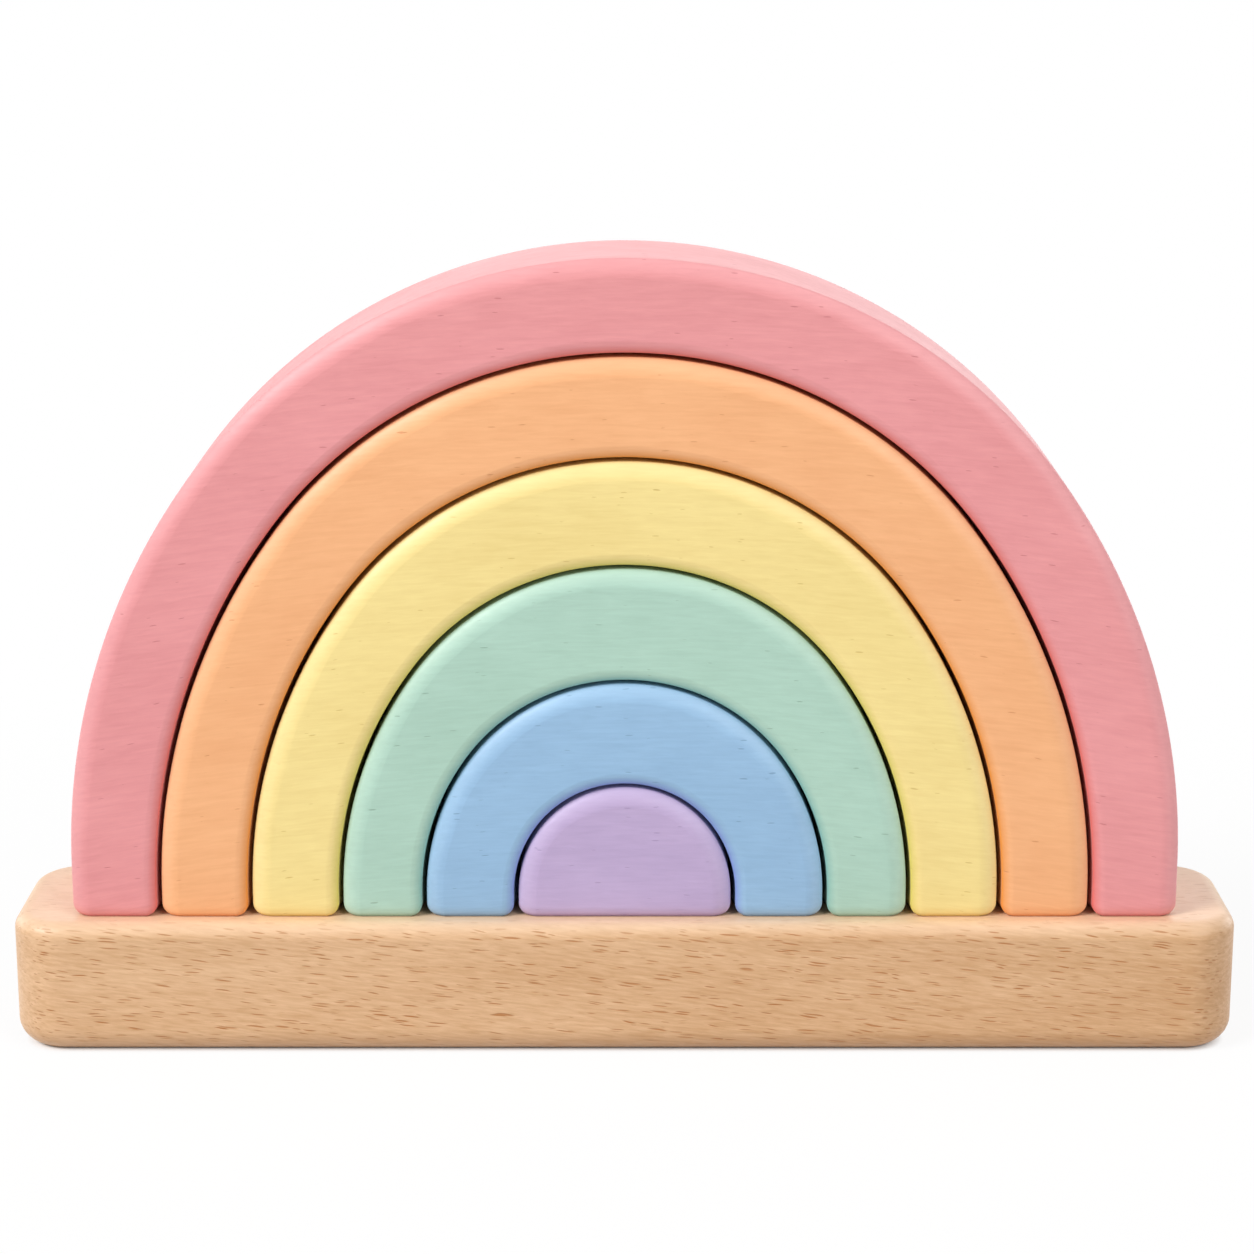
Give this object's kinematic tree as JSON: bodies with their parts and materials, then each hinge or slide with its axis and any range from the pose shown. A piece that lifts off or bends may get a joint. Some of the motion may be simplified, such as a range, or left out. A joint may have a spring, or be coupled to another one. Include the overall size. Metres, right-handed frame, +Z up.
{
  "type": "rainbow stacker",
  "caption": "Wooden rainbow stacking toy: nested painted arches over a half-round block, loose on a plain rounded base, lifted off from the outside in.",
  "frame": {"origin": "middle of the base's underside", "axes": "+X across the rainbow, -Y towards the front, +Z up"},
  "size_m": [0.261, 0.043, 0.169],
  "materials": {
    "bare_beech": "sanded and oiled",
    "violet_paint": "matte water-based paint on wood",
    "blue_paint": "matte water-based paint on wood",
    "green_paint": "matte water-based paint on wood",
    "yellow_paint": "matte water-based paint on wood",
    "orange_paint": "matte water-based paint on wood",
    "pink_paint": "matte water-based paint on wood"
  },
  "bodies": {
    "base": {"base": "bare_beech"},
    "violet_block": {"violet_block": "violet_paint"},
    "blue_arch": {"blue_arch": "blue_paint"},
    "green_arch": {"green_arch": "green_paint"},
    "yellow_arch": {"yellow_arch": "yellow_paint"},
    "orange_arch": {"orange_arch": "orange_paint"},
    "pink_arch": {"pink_arch": "pink_paint"}
  },
  "joints": [
    {"name": "violet_lift", "type": "slide", "parent": "base", "child": "violet_block", "axis": [0, 0, 1], "range_m": [0, 0.04]},
    {"name": "blue_lift", "type": "slide", "parent": "violet_block", "child": "blue_arch", "axis": [0, 0, 1], "range_m": [0, 0.035]},
    {"name": "green_lift", "type": "slide", "parent": "blue_arch", "child": "green_arch", "axis": [0, 0, 1], "range_m": [0, 0.06]},
    {"name": "yellow_lift", "type": "slide", "parent": "green_arch", "child": "yellow_arch", "axis": [0, 0, 1], "range_m": [0, 0.085]},
    {"name": "orange_lift", "type": "slide", "parent": "yellow_arch", "child": "orange_arch", "axis": [0, 0, 1], "range_m": [0, 0.105]},
    {"name": "pink_lift", "type": "slide", "parent": "orange_arch", "child": "pink_arch", "axis": [0, 0, 1], "range_m": [0, 0.13]}
  ]
}
